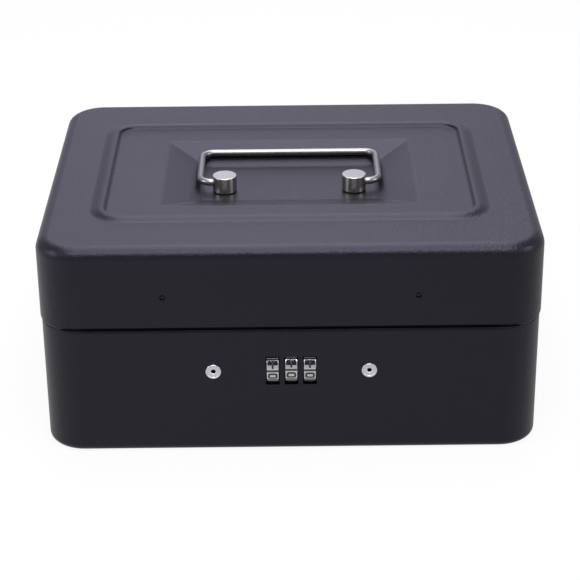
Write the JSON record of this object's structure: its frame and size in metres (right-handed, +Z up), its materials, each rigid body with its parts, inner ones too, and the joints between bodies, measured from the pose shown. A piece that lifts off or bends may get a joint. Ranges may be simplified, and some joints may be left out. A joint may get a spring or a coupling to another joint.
{
  "type": "cash box",
  "caption": "Low steel cash box with a hinged lid, a wire handle that folds into a well in its top, a combination wheel lock in its front and a lift-out coin tray.",
  "frame": {"origin": "middle of the underside, on the surface the box stands on", "axes": "+X to the right along the long side, +Y to the back where the hinge is, +Z up; the lock faces -Y"},
  "size_m": [0.2, 0.1629, 0.0917],
  "materials": {
    "black_coat": "black powder coat with a fine matt texture",
    "zinc_steel": "plain zinc plate",
    "nickel": "turned and nickel plated",
    "chrome_wire": "bright plated wire",
    "chrome_dial": "satin chrome plate",
    "ring_brass": "turned",
    "spring_steel": "drawn wire and strip",
    "tray_plastic": "moulded, lightly textured"
  },
  "bodies": {
    "base": {"base_shell": "black_coat", "hinge_base_leaf": "black_coat", "hinge_pin": "zinc_steel", "hinge_base_rivets": "black_coat", "lock_frame": "zinc_steel", "lock_rivets": "nickel", "lock_cover": "zinc_steel", "cover_screws": "zinc_steel", "detent_spring": "spring_steel", "bolt_spring": "spring_steel"},
    "lid": {"lid_shell": "black_coat", "hinge_lid_leaf": "black_coat", "hinge_lid_rivets": "black_coat", "strike_plate": "zinc_steel", "strike_rivets": "black_coat", "handle_post_left": "nickel", "handle_post_right": "nickel", "post_screws": "zinc_steel", "post_washers": "zinc_steel"},
    "bail": {"handle_bail": "chrome_wire"},
    "wheel_left": {"dial_left": "chrome_dial"},
    "wheel_middle": {"dial_middle": "chrome_dial"},
    "wheel_right": {"dial_right": "chrome_dial"},
    "ring_left": {"code_ring_left": "ring_brass"},
    "ring_middle": {"code_ring_middle": "ring_brass"},
    "ring_right": {"code_ring_right": "ring_brass"},
    "bolt": {"lock_bolt": "zinc_steel", "spring_clip": "zinc_steel"},
    "code_change": {"code_change_slide": "zinc_steel"},
    "tray": {"coin_tray": "tray_plastic"}
  },
  "joints": [
    {"name": "lid_hinge", "type": "hinge", "parent": "base", "child": "lid", "pos_m": [0, 0.07945, 0.0554], "axis": [-1, 0, 0], "range_deg": [0, 105]},
    {"name": "bail_swing", "type": "hinge", "parent": "lid", "child": "bail", "pos_m": [0, -0.01, 0.08844], "axis": [1, 0, 0], "range_deg": [0, 172]},
    {"name": "wheel_left_turn", "type": "hinge", "parent": "base", "child": "wheel_left", "pos_m": [0, -0.0735, 0.0364], "axis": [1, 0, 0], "continuous": true},
    {"name": "wheel_middle_turn", "type": "hinge", "parent": "base", "child": "wheel_middle", "pos_m": [0, -0.0735, 0.0364], "axis": [1, 0, 0], "continuous": true},
    {"name": "wheel_right_turn", "type": "hinge", "parent": "base", "child": "wheel_right", "pos_m": [0, -0.0735, 0.0364], "axis": [1, 0, 0], "continuous": true},
    {"name": "bolt_slide", "type": "slide", "parent": "base", "child": "bolt", "axis": [-1, 0, 0], "range_m": [0, 0.0025], "stiffness_N_per_m": 200, "springref_m": -0.002, "deforming": ["bolt_spring"]},
    {"name": "code_change_push", "type": "slide", "parent": "base", "child": "code_change", "axis": [1, 0, 0], "range_m": [0, 0.0012]},
    {"name": "ring_left_shift", "type": "slide", "parent": "wheel_left", "child": "ring_left", "axis": [1, 0, 0], "range_m": [0, 0.0012]},
    {"name": "ring_middle_shift", "type": "slide", "parent": "wheel_middle", "child": "ring_middle", "axis": [1, 0, 0], "range_m": [0, 0.0012]},
    {"name": "ring_right_shift", "type": "slide", "parent": "wheel_right", "child": "ring_right", "axis": [1, 0, 0], "range_m": [0, 0.0012]},
    {"name": "tray_lift", "type": "slide", "parent": "base", "child": "tray", "axis": [0, 0, 1], "range_m": [0, 0.015]}
  ],
  "couplings": [
    {"joint": "ring_left_shift", "follows": "code_change_push", "ratio": 1},
    {"joint": "ring_middle_shift", "follows": "code_change_push", "ratio": 1},
    {"joint": "ring_right_shift", "follows": "code_change_push", "ratio": 1}
  ]
}
